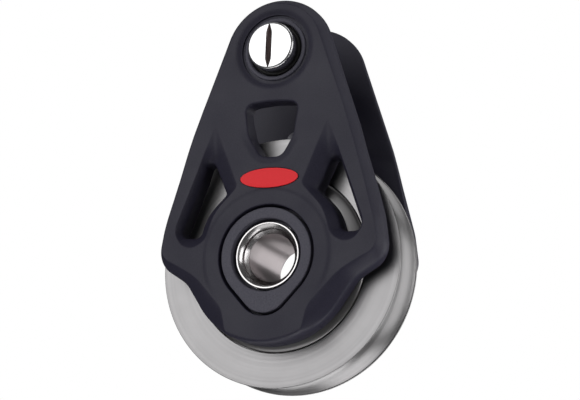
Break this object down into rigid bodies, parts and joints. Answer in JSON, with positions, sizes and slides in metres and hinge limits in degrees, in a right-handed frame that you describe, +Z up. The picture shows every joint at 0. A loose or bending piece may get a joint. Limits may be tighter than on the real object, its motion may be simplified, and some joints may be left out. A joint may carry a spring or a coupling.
{
  "type": "single sheave block",
  "caption": "Boat block with a wide grooved sheave on a hollow axle between two moulded cheeks, and a slotted clevis pin across the head.",
  "frame": {"origin": "centre of the clevis pin, midway between the cheeks", "axes": "+Z up from the sheave's axle to the clevis pin, +Y along the pin and the axle towards the rear cheek, +X to the right as seen from the pin's head"},
  "size_m": [0.0756, 0.0414, 0.1171],
  "materials": {
    "cheek_black": "moulded black-grey with a fine matte grain",
    "insert_grey": "matte, finely grained, a little more neutral than the cheeks",
    "sheave_alloy": "turned and anodised, satin light grey",
    "polished_steel": "turned and polished",
    "race_steel": "ground",
    "cage_acetal": "moulded, off-white",
    "seal_rubber": "matte black",
    "badge_red": "smooth red, with no text"
  },
  "bodies": {
    "block": {"front_cheek": "cheek_black", "rear_cheek": "cheek_black", "front_axle_insert": "insert_grey", "rear_axle_insert": "insert_grey", "axle": "polished_steel", "inner_race": "race_steel", "front_ball_race": "race_steel", "rear_ball_race": "race_steel", "front_pin_bush": "insert_grey", "rear_pin_bush": "insert_grey", "front_badge": "badge_red", "rear_badge": "badge_red"},
    "sheave_set": {"sheave": "sheave_alloy", "outer_race": "race_steel", "front_side_plate": "sheave_alloy", "rear_side_plate": "sheave_alloy"},
    "roller_set": {"roller_cage": "cage_acetal", "roller_01": "race_steel", "roller_02": "race_steel", "roller_03": "race_steel", "roller_04": "race_steel", "roller_05": "race_steel", "roller_06": "race_steel", "roller_07": "race_steel", "roller_08": "race_steel", "roller_09": "race_steel", "roller_10": "race_steel", "roller_11": "race_steel", "roller_12": "race_steel"},
    "front_ball_set": {"front_ball_cage": "cage_acetal", "front_ball_01": "race_steel", "front_ball_02": "race_steel", "front_ball_03": "race_steel", "front_ball_04": "race_steel", "front_ball_05": "race_steel", "front_ball_06": "race_steel", "front_ball_07": "race_steel", "front_ball_08": "race_steel", "front_ball_09": "race_steel", "front_ball_10": "race_steel"},
    "rear_ball_set": {"rear_ball_cage": "cage_acetal", "rear_ball_01": "race_steel", "rear_ball_02": "race_steel", "rear_ball_03": "race_steel", "rear_ball_04": "race_steel", "rear_ball_05": "race_steel", "rear_ball_06": "race_steel", "rear_ball_07": "race_steel", "rear_ball_08": "race_steel", "rear_ball_09": "race_steel", "rear_ball_10": "race_steel"},
    "pin_seal": {"pin_o_ring": "seal_rubber"},
    "pin": {"clevis_pin": "polished_steel"}
  },
  "joints": [
    {"name": "sheave_spin", "type": "hinge", "parent": "block", "child": "sheave_set", "pos_m": [0, 0, -0.063], "axis": [0, 1, 0], "continuous": true},
    {"name": "roller_orbit", "type": "hinge", "parent": "block", "child": "roller_set", "pos_m": [0, 0, -0.063], "axis": [0, 1, 0], "continuous": true},
    {"name": "front_ball_orbit", "type": "hinge", "parent": "block", "child": "front_ball_set", "pos_m": [0, 0, -0.063], "axis": [0, 1, 0], "continuous": true},
    {"name": "rear_ball_orbit", "type": "hinge", "parent": "block", "child": "rear_ball_set", "pos_m": [0, 0, -0.063], "axis": [0, 1, 0], "continuous": true},
    {"name": "pin_slide", "type": "slide", "parent": "block", "child": "pin_seal", "axis": [0, -1, 0], "range_m": [0, 0.031]},
    {"name": "pin_turn", "type": "hinge", "parent": "pin_seal", "child": "pin", "pos_m": [0, 0, 0], "axis": [0, 1, 0], "continuous": true}
  ],
  "couplings": [
    {"joint": "roller_orbit", "follows": "sheave_spin", "ratio": 0.5935},
    {"joint": "front_ball_orbit", "follows": "sheave_spin", "ratio": 0.5},
    {"joint": "rear_ball_orbit", "follows": "sheave_spin", "ratio": 0.5}
  ]
}
